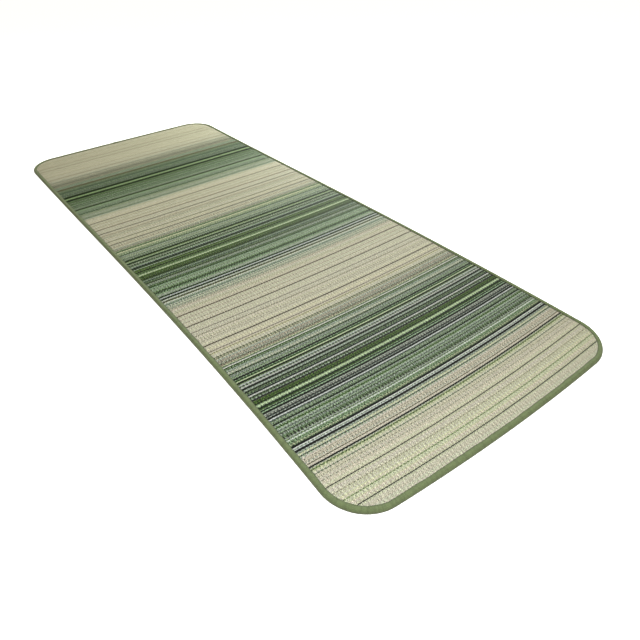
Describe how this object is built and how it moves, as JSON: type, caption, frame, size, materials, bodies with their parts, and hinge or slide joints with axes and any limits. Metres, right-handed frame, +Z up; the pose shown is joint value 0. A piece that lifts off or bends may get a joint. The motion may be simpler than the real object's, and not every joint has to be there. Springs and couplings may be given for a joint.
{
  "type": "tatami mat",
  "caption": "Long padded rush floor mat with round corners, striped across its width and edged all round by a folded green cloth tape.",
  "frame": {"origin": "middle of the underside's extent, on the surface that the mat lies on", "axes": "+Y along the mat's length from the near end to the far end, +X across its width, +Z up out of the woven face"},
  "size_m": [0.713, 1.801, 0.0132],
  "materials": {
    "woven_rush": "matt plain-woven dyed and natural rush, striped across",
    "cotton_tape": "matt woven cloth tape, folded over the edge"
  },
  "bodies": {
    "root": {"rush_mat": "woven_rush", "edge_tape": "cotton_tape"}
  },
  "joints": []
}
